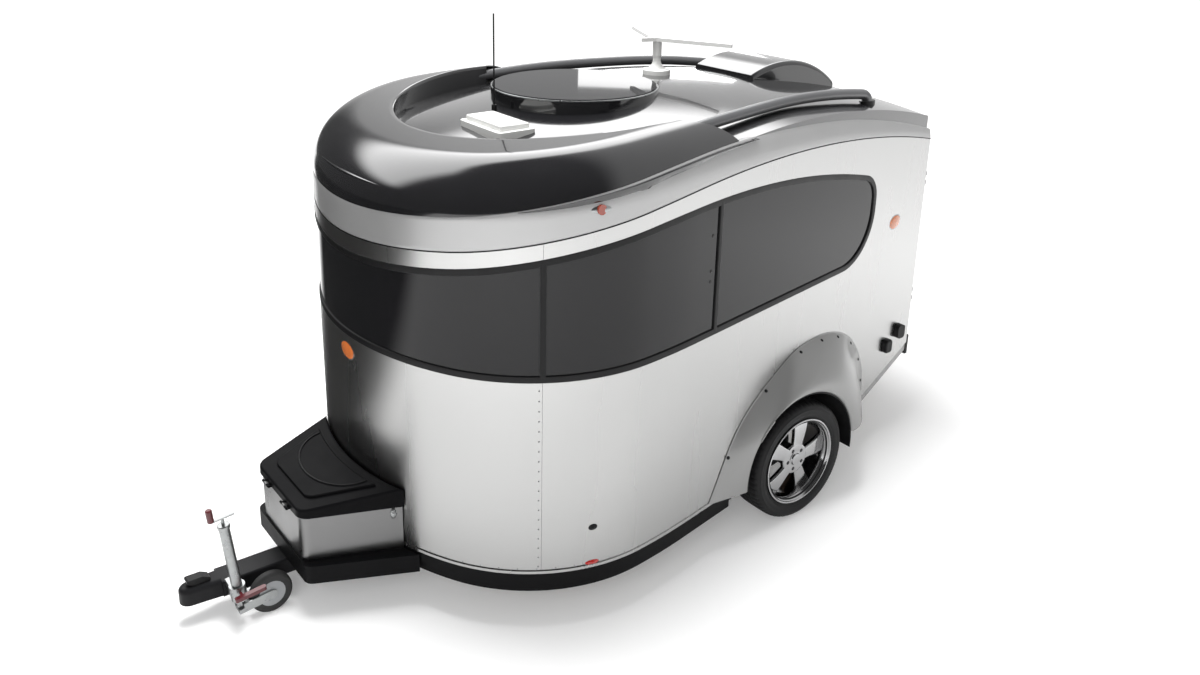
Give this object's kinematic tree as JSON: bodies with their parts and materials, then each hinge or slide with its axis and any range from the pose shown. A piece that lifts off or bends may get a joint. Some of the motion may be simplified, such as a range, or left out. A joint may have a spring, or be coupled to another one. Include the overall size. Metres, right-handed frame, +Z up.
{
  "type": "travel caravan",
  "caption": "Small rounded-nose travel caravan with a tapered tail, wrap-around window band, round skylight, front locker, jockey wheel and rear double doors.",
  "frame": {"origin": "on the floor, under the middle of the overall length, on the centre plane", "axes": "+X ahead towards the coupling, +Y to the left side, +Z up"},
  "size_m": [4.34, 2.12, 2.63],
  "materials": {
    "aluminium_skin": "satin",
    "galvanised_steel": "satin",
    "black_steel": "satin",
    "matte_black": "matte",
    "gloss_black": "gloss",
    "band_grey": "satin",
    "rail_grey": "satin",
    "fender_grey": "satin",
    "tinted_glass": "gloss",
    "white_plastic": "gloss",
    "amber_lens": "gloss",
    "red_lens": "gloss",
    "red_grip": "gloss",
    "wheel_grey": "gloss",
    "alloy": "satin",
    "cast_hub": "matte",
    "road_tyre": "matte",
    "black_rubber": "matte",
    "floor_board": "matte"
  },
  "bodies": {
    "trailer": {"axle_beam": "galvanised_steel", "box_tray": "matte_black", "chassis_frame": "galvanised_steel", "coupling_handle": "matte_black", "coupling_head": "black_steel", "door_hinges": "matte_black", "drawbar": "black_steel", "fender_left": "fender_grey", "fender_right": "fender_grey", "floor_deck": "floor_board", "front_box": "aluminium_skin", "front_fairing": "gloss_black", "front_skirt": "matte_black", "jockey_clamp": "galvanised_steel", "jockey_grips": "red_grip", "jockey_tube": "galvanised_steel", "marker_lamps": "amber_lens", "panes_left": "tinted_glass", "panes_nose": "tinted_glass", "panes_right": "tinted_glass", "rail_feet": "matte_black", "rear_lamps": "red_lens", "rear_sills": "fender_grey", "roof_band": "band_grey", "roof_pod": "gloss_black", "roof_rails": "rail_grey", "roof_shell": "gloss_black", "roof_vent": "white_plastic", "service_inlets": "matte_black", "skylight_curb": "gloss_black", "skylight_pane": "tinted_glass", "tail_beam": "matte_black", "tail_wall": "aluminium_skin", "tv_antenna": "white_plastic", "wall_left": "aluminium_skin", "wall_nose": "aluminium_skin", "wall_right": "aluminium_skin", "wheel_housings": "matte_black", "whip_antenna": "matte_black", "window_frame": "matte_black"},
    "wheel_left": {"hub_left": "cast_hub", "rim_left": "alloy", "tyre_left": "road_tyre"},
    "wheel_right": {"hub_right": "cast_hub", "rim_right": "alloy", "tyre_right": "road_tyre"},
    "lid": {"box_lid": "matte_black"},
    "door_left": {"tail_door_left": "aluminium_skin", "door_pane_left": "tinted_glass", "door_handle": "matte_black"},
    "door_right": {"tail_door_right": "aluminium_skin", "door_pane_right": "tinted_glass"},
    "jockey_leg": {"jockey_stem": "galvanised_steel"},
    "jockey_wheel": {"jockey_rim": "wheel_grey", "jockey_tyre": "black_rubber"}
  },
  "joints": [
    {"name": "wheel_spin_left", "type": "hinge", "parent": "trailer", "child": "wheel_left", "pos_m": [-0.77, 0.896, 0.3255], "axis": [0, 1, 0], "continuous": true},
    {"name": "wheel_spin_right", "type": "hinge", "parent": "trailer", "child": "wheel_right", "pos_m": [-0.77, -0.896, 0.3255], "axis": [0, 1, 0], "continuous": true},
    {"name": "lid_hinge", "type": "hinge", "parent": "trailer", "child": "lid", "pos_m": [1.699, 0, 0.5], "axis": [0, 1, 0], "range_deg": [0, 75]},
    {"name": "door_hinge_left", "type": "hinge", "parent": "trailer", "child": "door_left", "pos_m": [-2.14, 0.56502, 1.2], "axis": [0, 0, -1], "range_deg": [0, 110]},
    {"name": "door_hinge_right", "type": "hinge", "parent": "trailer", "child": "door_right", "pos_m": [-2.14, -0.56502, 1.2], "axis": [0, 0, 1], "range_deg": [0, 110]},
    {"name": "jockey_lift", "type": "slide", "parent": "trailer", "child": "jockey_leg", "axis": [0.1045, 0, 0.9945], "range_m": [-0.18, 0]},
    {"name": "jockey_spin", "type": "hinge", "parent": "jockey_leg", "child": "jockey_wheel", "pos_m": [1.80018, 0.138, 0.1], "axis": [0, 1, 0], "continuous": true}
  ]
}
